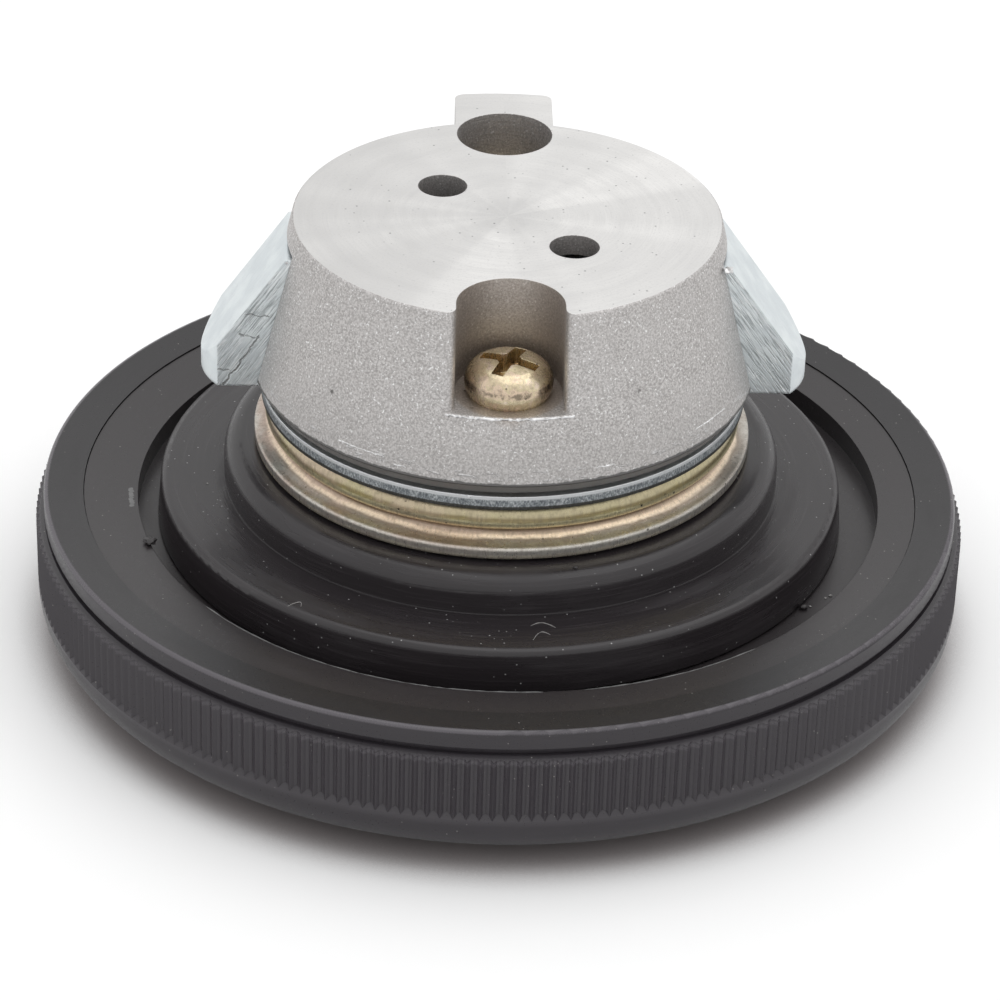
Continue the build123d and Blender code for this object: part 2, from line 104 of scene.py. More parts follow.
class Finish:
    """One procedural material, built up with short calls."""

    def __init__(self, name, metallic=0.0, specular=0.5):
        self.material = bpy.data.materials.new(name)
        self.material.use_nodes = True
        self.tree = self.material.node_tree
        self.shader = self.tree.nodes["Principled BSDF"]
        self.place = self.node("ShaderNodeTexCoord").outputs["Object"]
        self.set("Metallic", metallic)
        self.set("Specular IOR Level", specular)

    def node(self, kind, values=(), **settings):
        """Adds a node; values are its inputs by name or number, as links or plain values."""
        made = self.tree.nodes.new(kind)
        for key, value in settings.items():
            setattr(made, key, value)
        for key, value in dict(values).items():
            self.feed(made.inputs[key], value)
        return made

    def feed(self, socket, value):
        """Links an output to a socket, or sets the socket's value."""
        if isinstance(value, bpy.types.NodeSocket):
            self.tree.links.new(value, socket)
        else:
            socket.default_value = value

    def set(self, label, value):
        self.feed(self.shader.inputs[label], value)

    def math(self, operation, a, b=0.0):
        return self.node("ShaderNodeMath", {0: a, 1: b}, operation=operation).outputs[0]

    def times(self, a, b):
        return self.math("MULTIPLY", a, b)

    def plus(self, a, b):
        return self.math("ADD", a, b)

    def minus(self, a, b):
        return self.math("SUBTRACT", a, b)

    def larger(self, a, b):
        return self.math("MAXIMUM", a, b)

    def absolute(self, a):
        return self.math("ABSOLUTE", a)

    def length(self, a, b):
        """Length of a line that runs a one way and b across."""
        return self.math("SQRT", self.plus(self.times(a, a), self.times(b, b)))

    def parts(self, vector):
        """x, y and z of a vector."""
        return self.node("ShaderNodeSeparateXYZ", {0: vector}).outputs

    def axes(self):
        """x, y and z of the place on the object."""
        return self.parts(self.place)

    def normal(self):
        """x, y and z of the surface's direction."""
        return self.parts(self.node("ShaderNodeNewGeometry").outputs["Normal"])

    def vector(self, x, y, z):
        return self.node("ShaderNodeCombineXYZ", {0: x, 1: y, 2: z}).outputs[0]

    def radius(self):
        """Distance from the cap's axis."""
        x, y = self.axes()[:2]
        return self.length(x, y)

    def angle(self):
        """Angle round the cap's axis, with its seam at the back."""
        x, y = self.axes()[:2]
        return self.math("ARCTAN2", x, self.times(y, -1.0))

    def wrapped(self, along, up, out=1.0):
        """Place unrolled round the axis: arc length, height and radius, each stretched."""
        z = self.axes()[2]
        arc = self.times(self.angle(), WRAP_R * along)
        return self.vector(arc, self.times(z, up), self.times(self.radius(), out))

    def turned(self, turn):
        """x, y and z of the place after a turn about the origin."""
        values = {"Vector": self.place, "Rotation": turn}
        return self.parts(self.node("ShaderNodeMapping", values, vector_type="POINT").outputs[0])

    def noise(self, size, detail=3.0, rough=0.5, at=None):
        """Noise from 0 to 1 whose features are about size metres."""
        values = {"Vector": at or self.place, "Scale": 1 / size}
        values.update({"Detail": detail, "Roughness": rough})
        return self.node("ShaderNodeTexNoise", values).outputs["Fac"]

    def specks(self, spacing, size):
        """1 on small scattered spots about size metres wide, spacing metres apart."""
        values = {"Vector": self.place, "Scale": 1 / spacing, "Randomness": 1.0}
        far = self.node("ShaderNodeTexVoronoi", values).outputs["Distance"]
        return self.span(far, size / spacing, size / spacing * 0.4)

    def span(self, value, low, high, to=(0.0, 1.0)):
        """Maps low..high smoothly to the given range, clamped."""
        values = {"Value": value, "From Min": low, "From Max": high}
        values.update({"To Min": to[0], "To Max": to[1]})
        return self.node("ShaderNodeMapRange", values, interpolation_type="SMOOTHSTEP").outputs[0]

    def mix(self, factor, a, b):
        """Blend of two colours."""
        made = self.node("ShaderNodeMix", data_type="RGBA")
        self.feed(made.inputs[0], factor)
        self.feed(made.inputs[6], a)
        self.feed(made.inputs[7], b)
        return made.outputs[2]

    def bands(self, value, stops):
        """Colour ramp through (position, colour) stops."""
        made = self.node("ShaderNodeValToRGB", {0: value})
        ramp = made.color_ramp
        while len(ramp.elements) < len(stops):
            ramp.elements.new(1.0)
        for element, (where, colour) in zip(ramp.elements, stops):
            element.position = where
            element.color = colour
        return made.outputs[0]

    def bump(self, height, depth, soften=None):
        """Relief of depth metres; soften rounds the sharp edges over that width."""
        values = {"Height": height, "Distance": depth, "Strength": 1.0}
        if soften:
            rounded = self.node("ShaderNodeBevel", {"Radius": soften}, samples=4)
            values["Normal"] = rounded.outputs[0]
        self.set("Normal", self.node("ShaderNodeBump", values).outputs[0])

    def put_on(self, *names):
        """Gives this finish to the named CAD nodes."""
        for name in names:
            dress(nodes[name], self.material)


def tint(r, g, b):
    """Opaque colour."""
    return (r, g, b, 1.0)


def grey(value, warm=0.0):
    """Opaque grey; warm moves it towards brown, or towards blue below 0."""
    return (value * (1 + warm), value, value * (1 - warm), 1.0)


def scaled(colour, factor):
    """The colour made lighter or darker."""
    return tuple(c * factor for c in colour[:3]) + (1.0,)


def dress(obj, material):
    """Gives an object one material."""
    obj.data.materials.clear()
    obj.data.materials.append(material)


# --- palette, and the (position, colour) stops of the colour ramps
COVER_PLASTIC = tint(0.0265, 0.0228, 0.0272)
CARRIER_PLASTIC = tint(0.0262, 0.0226, 0.0240)
KNURL_PLASTIC = tint(0.044, 0.039, 0.045)
RIM_PLASTIC = tint(0.0130, 0.0115, 0.0130)
# painted highlight for the cover's rim corner and the upper ends of its knurl
EDGE_HIGHLIGHT_PLASTIC = tint(0.092, 0.084, 0.094)
RUBBER, RUBBER_BLOOM = tint(0.0215, 0.0182, 0.0200), tint(0.036, 0.032, 0.035)
RUBBER_STREAK = tint(0.045, 0.040, 0.043)
ROSY_ZINC = tint(0.58, 0.44, 0.37)
DULL_ZINC = tint(0.24, 0.20, 0.15)
CAST_DARK, CAST_LIGHT = tint(0.42, 0.403, 0.393), tint(0.645, 0.625, 0.615)
# the second colour is painted shade towards the casting's foot
CAST_CLOUD, CAST_FOOT_SHADE = tint(0.60, 0.58, 0.57), tint(0.40, 0.385, 0.375)
NOTCH_GLOW = tint(0.40, 0.32, 0.25)     # gold that the screw throws on its notch
TURNED_DARK, TURNED_LIGHT = tint(0.82, 0.81, 0.795), tint(0.96, 0.95, 0.93)
# painted highlight along the washer's rim and painted shadow line at its foot
WASHER_RIM_HIGHLIGHT, WASHER_FOOT_SHADOW = tint(0.97, 0.99, 1.0), tint(0.07, 0.065, 0.055)
BOLT_DULL, BOLT_CLEAN = tint(0.72, 0.77, 0.79), tint(0.82, 0.87, 0.88)
BOLT_SCORE, BOLT_LIT = tint(0.34, 0.37, 0.38), tint(0.93, 0.96, 0.97)
SPRING_STEEL = tint(0.52, 0.53, 0.55)
BARREL_ZINC = tint(0.60, 0.61, 0.62)
FACE_ZINC = tint(0.66, 0.67, 0.69)
BRASS = tint(0.72, 0.58, 0.30)
# over the yellow passivation the stops paint light and shade: a painted highlight on the brim's
# lower edge and on the bead, painted shade in the valley under the bead and just below the washer
CUP_TONE_AND_LIGHT_STOPS = [       # from the gasket cup's brim to its crown, with painted light and shade by height
    (0.00, tint(1.00, 0.93, 0.76)), (0.03, tint(0.66, 0.64, 0.59)),
    (0.12, tint(0.64, 0.62, 0.57)), (0.16, tint(0.46, 0.42, 0.37)),
    (0.20, tint(0.32, 0.27, 0.22)), (0.235, tint(0.84, 0.70, 0.54)),
    (0.27, tint(0.84, 0.68, 0.51)), (0.31, tint(0.45, 0.35, 0.26)),
    (0.37, tint(0.27, 0.205, 0.15)), (0.43, tint(0.38, 0.30, 0.21)),
    (0.50, tint(0.54, 0.47, 0.29)), (0.56, tint(0.80, 0.72, 0.44)),
    (0.66, tint(0.96, 0.88, 0.56)), (0.72, tint(0.94, 0.86, 0.52)),
    (0.77, tint(0.40, 0.34, 0.16)), (0.83, tint(0.25, 0.21, 0.09)),
    (0.89, tint(0.50, 0.45, 0.28)),
]
SCREW_STOPS = [     # patches on the screw heads, from rosy and gold to the painted dark reflection
    (0.34, tint(0.84, 0.70, 0.56)), (0.44, tint(0.76, 0.66, 0.44)),
    (0.54, tint(0.64, 0.55, 0.36)), (0.62, tint(0.78, 0.62, 0.46)),
    (0.84, tint(0.24, 0.20, 0.14)),
]
PLATE_STOPS = [     # mottle of the blue-white zinc, from dark to bright
    (0.34, tint(0.20, 0.22, 0.24)), (0.46, tint(0.34, 0.37, 0.39)),
    (0.55, tint(0.54, 0.58, 0.60)), (0.66, tint(0.82, 0.85, 0.86)),
]


def lit_edges(f):
    """Painted highlight: 1 along the cover's rim corner and the upper ends of its knurl."""
    z = f.axes()[2]
    r = f.radius()
    off_corner = f.absolute(f.minus(r, RIM_R))
    corner = f.times(f.span(off_corner, 0.34 * MM, 0.16 * MM),
                     f.span(z, RIM_Z - 0.4 * MM, RIM_Z - 0.2 * MM))
    off_knurl = f.absolute(f.minus(z, KNURL_TOP))
    knurl = f.times(f.span(off_knurl, 0.30 * MM, 0.10 * MM),
                    f.span(r, KNURL_R, KNURL_R + 0.15 * MM))
    return f.larger(corner, f.times(knurl, 0.6))


def cover_zones(f, colour):
    """The cover's colour, paler on the knurl and darker on the flat rim."""
    z = f.axes()[2]
    r = f.radius()
    knurl_band = f.times(f.span(r, KNURL_R, KNURL_R + 0.2 * MM),
                      f.span(z, KNURL_FOOT - 0.4 * MM, KNURL_FOOT + 0.4 * MM))
    flat = f.times(f.span(r, RIM_R - 0.2 * MM, RIM_R - 0.4 * MM),
                   f.span(z, RIM_Z - 0.9 * MM, RIM_Z - 0.7 * MM))
    return f.mix(flat, f.mix(knurl_band, colour, KNURL_PLASTIC), RIM_PLASTIC)


def black_moulding(name, colour, dust, edges=None, soften=None):
    """Satin black plastic with a fine moulded grain, faint scuffs and dust, and, where edges are
    given, a painted highlight along them.
    """
    f = Finish(name)
    scuffs = f.span(f.noise(2.6 * MM, 5, 0.65, f.wrapped(0.35, 1.0)), 0.45, 0.75)
    grain = f.noise(0.22 * MM, 2, 0.6)
    edge_highlight = edges(f) if edges else 0.0
    rough = f.plus(f.span(grain, 0.2, 0.8, (0.26, 0.37)), f.times(scuffs, 0.08))
    f.set("Roughness", f.minus(rough, f.times(edge_highlight, 0.08)))
    plain = f.mix(f.times(scuffs, 0.5), colour, scaled(colour, 1.4))
    if edges:
        # painted highlight: paler plastic along the rim corner and the knurl tops
        plain = f.mix(edge_highlight, cover_zones(f, plain), EDGE_HIGHLIGHT_PLASTIC)
    motes = f.times(f.specks(1.0 * MM, 0.10 * MM), f.span(f.noise(5 * MM, 2), 0.45, 0.60))
    f.set("Base Color", f.mix(f.times(motes, dust), plain, grey(0.34, 0.05)))
    f.bump(f.plus(grain, f.times(motes, 2.0)), 0.006 * MM, soften)
    return f


def rubber():
    """Satin black rubber with turned mould lines, a grey bloom and clinging dust."""
    f = Finish("gasket rubber")
    rings = f.noise(0.35 * MM, 3, 0.6, f.wrapped(0.03, 1.0, 1.0))
    bloom = f.span(f.noise(6 * MM, 4, 0.6, f.wrapped(0.3, 1.0, 1.5)), 0.45, 0.7)
    grain = f.noise(0.25 * MM, 3, 0.6)
    f.set("Roughness", f.span(f.plus(rings, bloom), 0.5, 1.6, (0.24, 0.44)))
    plain = f.mix(f.times(bloom, 0.4), RUBBER, RUBBER_BLOOM)
    plain = f.mix(f.span(rings, 0.5, 0.72, (0.0, 0.5)), plain, RUBBER_STREAK)
    motes = f.times(f.specks(0.95 * MM, 0.10 * MM), f.span(f.noise(6 * MM, 2), 0.40, 0.54))
    f.set("Base Color", f.mix(f.times(motes, 0.8), plain, grey(0.45)))
    f.bump(f.plus(f.times(rings, 3.0), grain), 0.010 * MM, 0.2 * MM)
    return f


def yellow_zinc(name, stops, tones, rough, soften):
    """Yellow passivated zinc, its colour drifting between gold, green and pink."""
    f = Finish(name, metallic=1.0)
    drift = f.noise(4 * MM, 3, 0.6, f.wrapped(0.5, 1.6))
    streaks = f.noise(0.4 * MM, 3, 0.65, f.wrapped(1.0, 0.22))
    tone = f.bands(f.plus(tones(f), f.span(drift, 0.3, 0.7, (-0.02, 0.02))), stops)
    x = f.axes()[0]
    rosy = f.times(f.span(x, *RIGHT_TO_LEFT, (0.2, 0.9)), f.span(drift, 0.36, 0.62, (0.0, 0.6)))
    tone = f.mix(rosy, tone, ROSY_ZINC)
    mottle = f.noise(0.45 * MM, 3, 0.7)
    tone = f.mix(f.span(mottle, 0.5, 0.7, (0.0, 0.30)), tone, DULL_ZINC)
    tone = f.mix(f.span(streaks, 0.42, 0.75, (0.0, 0.4)), tone, DULL_ZINC)
    pits = f.times(f.specks(1.1 * MM, 0.18 * MM), f.span(f.noise(2.5 * MM, 2), 0.5, 0.62))
    f.set("Base Color", f.mix(pits, tone, grey(0.05, 0.2)))
    f.set("Roughness", f.span(streaks, 0.3, 0.8, rough))
    dents = f.times(f.noise(0.6 * MM, 2, 0.6), 1.6)
    f.bump(f.plus(f.minus(f.times(streaks, 0.5), pits), dents), 0.012 * MM, soften)
    return f


def cup_height(f):
    """0 at the gasket cup's brim, 1 at its crown."""
    z = f.axes()[2]
    return f.span(z, CUP_LOW, CUP_HIGH)


def screw_patches(f):
    """Patchy passivation, with a painted dark reflection in a patchy band round the lower half of
    the head.
    """
    z = f.axes()[2]
    off = f.absolute(f.minus(z, SCREW_REFLECTION_Z))
    # painted reflection: a dark patchy band round the head's lower half, standing for the notch
    # floor it mirrors
    dark_reflection = f.times(f.span(off, 0.5 * MM, 0.15 * MM),
                    f.span(f.noise(0.5 * MM, 4, 0.7), 0.35, 0.65, (0.05, 0.38)))
    return f.plus(f.noise(1.4 * MM, 4, 0.6), dark_reflection)


def zinc_plate(name):
    """Blue-white zinc plate; on the washer a mottled edge under a painted highlight along its rim,
    with a painted shadow line at its foot.
    """
    f = Finish(name, metallic=1.0)
    z = f.axes()[2]
    cloud = f.noise(1.6 * MM, 3, 0.6, f.wrapped(1.0, 0.5))
    mottle = f.plus(f.noise(0.24 * MM, 3, 0.7, f.wrapped(1.0, 0.6)),
                    f.span(cloud, 0.3, 0.7, (-0.06, 0.06)))
    tone = f.bands(mottle, PLATE_STOPS)
    # painted highlight: a bright line along the washer's top edge
    rim = f.span(z, WASHER_TOP - 0.5 * MM, WASHER_TOP - 0.3 * MM)
    tone = f.mix(f.times(rim, 0.92), tone, WASHER_RIM_HIGHLIGHT)
    # painted shadow: a dark line along the washer's lower edge, above the cup
    foot = f.times(f.span(z, WASHER_LOW + 0.42 * MM, WASHER_LOW + 0.30 * MM),
                   f.span(f.radius(), WASHER_R, WASHER_R + 0.1 * MM))
    f.set("Base Color", f.mix(f.times(foot, 0.9), tone, WASHER_FOOT_SHADOW))
    f.set("Roughness", f.span(mottle, 0.3, 0.7, (0.5, 0.34)))
    f.bump(mottle, 0.012 * MM, 0.15 * MM)
    return f


def near_post(f, y_post, reach):
    """1 within reach of an upright axis at x 0, y_post."""
    x, y = f.axes()[:2]
    away = f.length(x, f.minus(y, y_post))
    return f.span(away, reach, reach * 0.93)


def cast_skin(f):
    """Colour and relief of the grainy cast sides, with painted glints, painted shade towards the
    foot and a painted shadow band on the undercut lip.
    """
    x, _, z = f.axes()
    grain = f.noise(0.22 * MM, 2, 0.7)
    glint = f.span(f.noise(0.24 * MM, 1, 0.5), 0.63, 0.74)
    cloud = f.noise(5 * MM, 4, 0.6)
    skin = f.mix(f.span(grain, 0.36, 0.64), CAST_DARK, CAST_LIGHT)
    skin = f.mix(f.span(cloud, 0.35, 0.7, (0.0, 0.3)), skin, CAST_CLOUD)
    skin = f.mix(f.times(glint, 0.8), skin, grey(0.95))
    low = f.times(f.span(z, HOUSING_LOW + 1.9 * MM, HOUSING_LOW + 2.3 * MM),
                  f.span(z, HOUSING_LOW + 3.6 * MM, HOUSING_LOW + 2.9 * MM))
    flaws = f.times(low, f.span(f.noise(1.3 * MM, 4, 0.7, f.wrapped(0.6, 2.0)), 0.56, 0.64))
    skin = f.mix(f.times(flaws, 0.6), skin, grey(0.85))
    # painted shade: the sides darker towards the foot
    skin = f.mix(f.span(z, 37 * MM, 31 * MM, (0.0, 0.25)), skin, CAST_FOOT_SHADE)
    holes = f.times(f.specks(2.6 * MM, 0.32 * MM), f.span(f.noise(4 * MM, 3), 0.55, 0.62))
    skin = f.mix(f.times(holes, 0.8), skin, grey(0.12, 0.05))
    # painted shadow: a dark ragged band on the undercut lip below the casting's edge, less dark
    # further down
    ragged = f.plus(z, f.times(f.noise(0.9 * MM, 4, 0.7), 0.5 * MM))
    lip = f.times(f.span(ragged, LIP_TOP + 0.13 * MM, LIP_TOP),
                  f.span(f.radius(), LIP_R + 0.2 * MM, LIP_R))
    shade = f.mix(f.span(z, LIP_BEND + 0.2 * MM, LIP_BEND), grey(0.17, 0.02), grey(0.44, 0.02))
    skin = f.mix(lip, skin, shade)
    notch = near_post(f, -SCREW_Y, NOTCH_R)
    skin = f.mix(f.times(notch, 0.45), skin, NOTCH_GLOW)
    pocket = near_post(f, SCREW_Y, NOTCH_R)
    bored = f.noise(0.3 * MM, 2, 0.5, f.vector(0.0, f.times(x, 0.08), z))
    relief = f.plus(f.times(grain, 3.2), f.times(f.minus(flaws, holes), 8.0))
    return skin, f.mix(pocket, relief, f.times(bored, 5.0)), grain


def turned_face(f):
    """Colour and relief of the turned top, with painted reflections: fan-shaped sectors, darker
    towards the left and darker at the centre.
    """
    sweep = f.times(f.angle(), 0.3 * MM)
    turning = f.noise(0.13 * MM, 2, 0.7, f.vector(f.radius(), sweep, 0.0))
    broad = f.noise(2.2 * MM, 2, 0.6, f.vector(f.radius(), f.times(f.angle(), 2.5 * MM), 0.0))
    fine = f.noise(0.25 * MM, 2, 0.7)
    patches = f.plus(f.noise(7 * MM, 2), f.span(f.radius(), 8 * MM, 3 * MM, (0.0, 0.15)))
    pits = f.times(f.specks(1.1 * MM, 0.15 * MM), f.span(patches, 0.48, 0.60))
    x, y = f.axes()[:2]
    # painted reflection: fan-shaped sectors like a turned face's highlights
    ray = f.vector(f.math("DIVIDE", x, f.radius()), f.math("DIVIDE", y, f.radius()), 0.35)
    reflected_fans = f.span(f.noise(0.55, 2, 0.5, ray), 0.35, 0.62)
    face = f.mix(f.span(turning, 0.3, 0.7, (0.0, 0.6)), TURNED_DARK, TURNED_LIGHT)
    face = f.mix(f.span(broad, 0.4, 0.7, (0.0, 0.25)), face, grey(0.62, 0.01))
    face = f.mix(f.span(fine, 0.5, 0.8, (0.0, 0.35)), face, grey(0.50, 0.01))
    face = f.mix(f.times(reflected_fans, 0.35), face, grey(0.56, 0.01))
    # painted reflection: the top darker towards the left and at its centre
    face = f.mix(f.span(x, *RIGHT_TO_LEFT, (0.0, 0.36)), face, grey(0.50, 0.01))
    face = f.mix(f.span(f.radius(), 6 * MM, 1 * MM, (0.0, 0.4)), face, grey(0.52, 0.01))
    face = f.mix(f.times(pits, 0.8), face, grey(0.22))
    relief = f.minus(f.plus(turning, f.times(fine, 0.6)), f.times(pits, 3.0))
    return face, relief, turning


def die_casting():
    """Grainy cast zinc alloy with a turned top face."""
    f = Finish("die casting", metallic=1.0)
    z = f.axes()[2]
    facing = f.normal()[2]
    top = f.times(f.span(z, HOUSING_TOP - 0.25 * MM, HOUSING_TOP - 0.1 * MM),
                  f.span(facing, 0.8, 0.95))
    skin, skin_relief, grain = cast_skin(f)
    face, face_relief, turning = turned_face(f)
    f.set("Base Color", f.mix(top, skin, face))
    f.set("Roughness", f.mix(top, f.span(grain, 0.3, 0.7, (0.60, 0.46)),
                             f.span(turning, 0.3, 0.7, (0.36, 0.48))))
    f.bump(f.mix(top, skin_relief, face_relief), 0.006 * MM, 0.13 * MM)
    return f


def near_line(f, start, stop, width):
    """1 along a ragged line between two (x, z) points in millimetres, on any y."""
    (x0, z0), (x1, z1) = start, stop
    run, rise = x1 - x0, z1 - z0
    x, _, z = f.axes()
    wander = f.span(f.noise(0.9 * MM, 4, 0.6), 0.2, 0.8, (-0.35, 0.35))
    right = f.minus(f.math("DIVIDE", x, MM), x0)
    up = f.plus(f.minus(f.math("DIVIDE", z, MM), z0), wander)
    dot = f.plus(f.times(right, run), f.times(up, rise))
    share = f.math("DIVIDE", dot, run * run + rise * rise)
    share = f.node("ShaderNodeClamp", {0: share}).outputs[0]
    away = f.length(f.minus(right, f.times(share, run)), f.minus(up, f.times(share, rise)))
    return f.span(away, width, width * 0.3)


def bolt_zinc(name, slope, cracks=()):
    """Bright zinc on the latch bolts, scored on their flanks along the ramp."""
    f = Finish(name, metallic=1.0)
    flank = f.span(f.absolute(f.normal()[1]), 0.7, 0.9)
    along = f.turned((0, slope, 0))
    scored = f.noise(0.17 * MM, 3, 0.65, f.vector(along[0], along[1], f.times(along[2], 0.045)))
    lit = f.noise(0.15 * MM, 2, 0.6,
                  f.vector(along[0], along[1], f.plus(f.times(along[2], 0.06), 3.0)))
    cloud = f.noise(3.0 * MM, 3, 0.5)
    grain = f.noise(0.3 * MM, 2, 0.6)
    tone = f.mix(f.span(cloud, 0.35, 0.7), BOLT_DULL, BOLT_CLEAN)
    patchy = f.span(f.noise(2.2 * MM, 3), 0.3, 0.6, (0.35, 1.0))
    marks = f.times(f.times(f.span(scored, 0.46, 0.60), patchy), flank)
    tone = f.mix(f.times(marks, 0.8), tone, BOLT_SCORE)
    # painted highlights: bright lines along the scores on the flanks
    tone = f.mix(f.times(f.span(lit, 0.56, 0.66), flank), tone, BOLT_LIT)
    split = 0.0
    for start, stop, width in cracks:
        split = f.larger(split, near_line(f, start, stop, width))
    split = f.times(split, flank)
    tone = f.mix(f.times(split, 0.55), tone, grey(0.12))
    f.set("Base Color", f.mix(f.span(grain, 0.55, 0.8, (0.0, 0.2)), tone, grey(0.45)))
    f.set("Roughness", f.span(scored, 0.3, 0.75, (0.32, 0.46)))
    f.bump(f.minus(f.times(cloud, 0.6), f.plus(marks, f.times(split, 3.0))), 0.02 * MM, 0.3 * MM)
    return f


def plain_metal(name, colour, rough, brush):
    """Finely worked metal for the lock's inner pieces."""
    f = Finish(name, metallic=1.0)
    lines = f.noise(0.25 * MM, 3, 0.6, f.wrapped(*brush))
    f.set("Base Color", f.mix(f.span(lines, 0.3, 0.75), colour, scaled(colour, 0.72)))
    f.set("Roughness", f.span(lines, 0.3, 0.75, rough))
    f.bump(lines, 0.006 * MM, 0.06 * MM)
    return f


def make_finishes():
    """Dresses every CAD node."""
    black_moulding("cover plastic", COVER_PLASTIC, 0.6, lit_edges).put_on("cover_shell")
    carrier = black_moulding("carrier plastic", CARRIER_PLASTIC, 0.7, soften=0.12 * MM)
    carrier.put_on("inner_body")
    rubber().put_on("gasket", "barrel_o_ring")
    # the cup's stops paint light and shade by height
    cup = yellow_zinc("yellow zinc cup", CUP_TONE_AND_LIGHT_STOPS, cup_height, (0.26, 0.42), 0.5 * MM)
    cup.put_on("gasket_cup")
    screws = yellow_zinc("yellow zinc screws", SCREW_STOPS, screw_patches, (0.20, 0.34), 0.1 * MM)
    screws.put_on("screw_front", "screw_back")
    zinc_plate("blue zinc").put_on("thrust_washer", "cam_driver", "cam_screw", "dust_cover_rivet")
    die_casting().put_on("lock_housing")
    bolt_zinc("bolt zinc left", -BOLT_RAMP, LEFT_CRACKS).put_on("latch_bolt_left")
    bolt_zinc("bolt zinc right", BOLT_RAMP).put_on("latch_bolt_right")
    steel = plain_metal("spring steel", SPRING_STEEL, (0.3, 0.42), (1.0, 1.0))
    steel.put_on("bolt_spring_left", "bolt_spring_right", "barrel_clip", "dust_cover_washer")
    barrel = plain_metal("barrel zinc", BARREL_ZINC, (0.34, 0.48), (0.1, 1.0))
    barrel.put_on("lock_barrel")
    brass = plain_metal("brass", BRASS, (0.26, 0.38), (0.1, 1.0))
    brass.put_on("key_plug", "wafer_tumblers")
    face = plain_metal("face zinc", FACE_ZINC, (0.3, 0.42), (0.1, 1.0))
    face.put_on("lock_face_plate", "dust_cover")


# --- light: one broad softbox overhead in a white room
KEY_PLACE, KEY_SIZE, KEY_POWER = (0.15, 0.04, 0.85), (0.9, 0.9), 1.7
KEY_LOOK = (0.0, 0.0, 0.03)
WORLD_LOW = 0.93            # strength at the horizon
WORLD_HIGH = 0.98           # strength overhead
WORLD_FULL = 0.9            # upward part of a direction from which it has that strength
NOOK_REACH = 7 * MM         # how far from the cap the floor is darkened
NOOK_SHADE = tint(0.34, 0.31, 0.31)
FLOOR_Z = -0.05 * MM
FLOOR_HALF = 3.0


def softbox(name, place, size, power, look):
    """Rectangular lamp that points at a place."""
    data = bpy.data.lights.new(name, "AREA")
    data.shape = "RECTANGLE"
    data.size, data.size_y = size
    data.energy = power
    lamp = bpy.data.objects.new(name, data)
    lamp.location = place
    lamp.rotation_euler = (Vector(look) - Vector(place)).to_track_quat("-Z", "Y").to_euler()
    bpy.context.collection.objects.link(lamp)


def make_world():
    """White room, brighter overhead than at the horizon."""
    world = bpy.data.worlds.new("white room")
    bpy.context.scene.world = world
    world.use_nodes = True
    tree = world.node_tree
    place = tree.nodes.new("ShaderNodeTexCoord").outputs["Generated"]
    parts = tree.nodes.new("ShaderNodeSeparateXYZ")
    tree.links.new(place, parts.inputs[0])
    rise = tree.nodes.new("ShaderNodeMapRange")
    levels = {"From Min": 0.0, "From Max": WORLD_FULL}
    levels.update({"To Min": WORLD_LOW, "To Max": WORLD_HIGH})
    for label, value in levels.items():
        rise.inputs[label].default_value = value
    tree.links.new(parts.outputs[2], rise.inputs["Value"])
    tree.links.new(rise.outputs[0], tree.nodes["Background"].inputs["Strength"])
    tree.nodes["Background"].inputs["Color"].default_value = tint(1.0, 1.0, 1.0)


def make_floor():
    """Pale sheet under the cap: whiter for the camera, dark close to the cap, clear from below."""
    mesh = bpy.data.meshes.new("floor")
    corners = [(x * FLOOR_HALF, y * FLOOR_HALF, FLOOR_Z)
               for x, y in ((-1, -1), (1, -1), (1, 1), (-1, 1))]
    mesh.from_pydata(corners, [], [(0, 1, 2, 3)])
    floor = bpy.data.objects.new("floor", mesh)
    bpy.context.collection.objects.link(floor)
    f = Finish("floor", specular=0.2)
    f.set("Roughness", 0.6)
    path = f.node("ShaderNodeLightPath").outputs
    seen = path["Is Camera Ray"]
    nook = f.node("ShaderNodeAmbientOcclusion", {"Distance": NOOK_REACH}, samples=8).outputs["AO"]
    shaded = f.mix(f.span(nook, 0.28, 0.82), NOOK_SHADE, grey(0.98))
    f.set("Base Color", f.mix(seen, grey(0.80), shaded))
    passed = f.math("GREATER_THAN", path["Transparent Depth"], 0.5)
    under = f.larger(f.node("ShaderNodeNewGeometry").outputs["Backfacing"], passed)
    clear = f.node("ShaderNodeBsdfTransparent").outputs[0]
    shown = f.node("ShaderNodeMixShader", {0: under, 1: f.shader.outputs[0], 2: clear}).outputs[0]
    f.feed(f.tree.nodes["Material Output"].inputs["Surface"], shown)
    dress(floor, f.material)


def make_camera():
    """Camera at the photograph's place, turned, tilted and rolled as it was."""
    down, roll = CAM_DOWN, CAM_ROLL
    forward = Vector((0, math.cos(down), -math.sin(down)))
    level = Vector((1, 0, 0))
    rise = Vector((0, math.sin(down), math.cos(down)))
    right = level * math.cos(roll) + rise * math.sin(roll)
    up = rise * math.cos(roll) - level * math.sin(roll)
    data = bpy.data.cameras.new("camera")
    data.lens = CAM_LENS
    data.sensor_width = CAM_SENSOR
    data.clip_start = CAM_CLIP
    camera = bpy.data.objects.new("camera", data)
    axes = Matrix((right, up, -forward)).transposed().to_4x4()
    camera.matrix_world = Matrix.Rotation(CAM_TURN, 4, "Z") @ Matrix.Translation(CAM_PLACE) @ axes
    bpy.context.collection.objects.link(camera)
    bpy.context.scene.camera = camera


# --- small marks of casting, handling and dust
CLEAR = 0.1                 # lines are cast at the cap from this far off
DOWN = Vector((0, 0, -1))


def on_side(node, angle, z):
    """Point and normal where a level line towards the axis meets a node."""
    turn = math.radians(angle)
    out = Vector((math.sin(turn), -math.cos(turn), 0))
    return nodes[node].ray_cast(out * CLEAR + Vector((0, 0, z)), -out)[1:3]


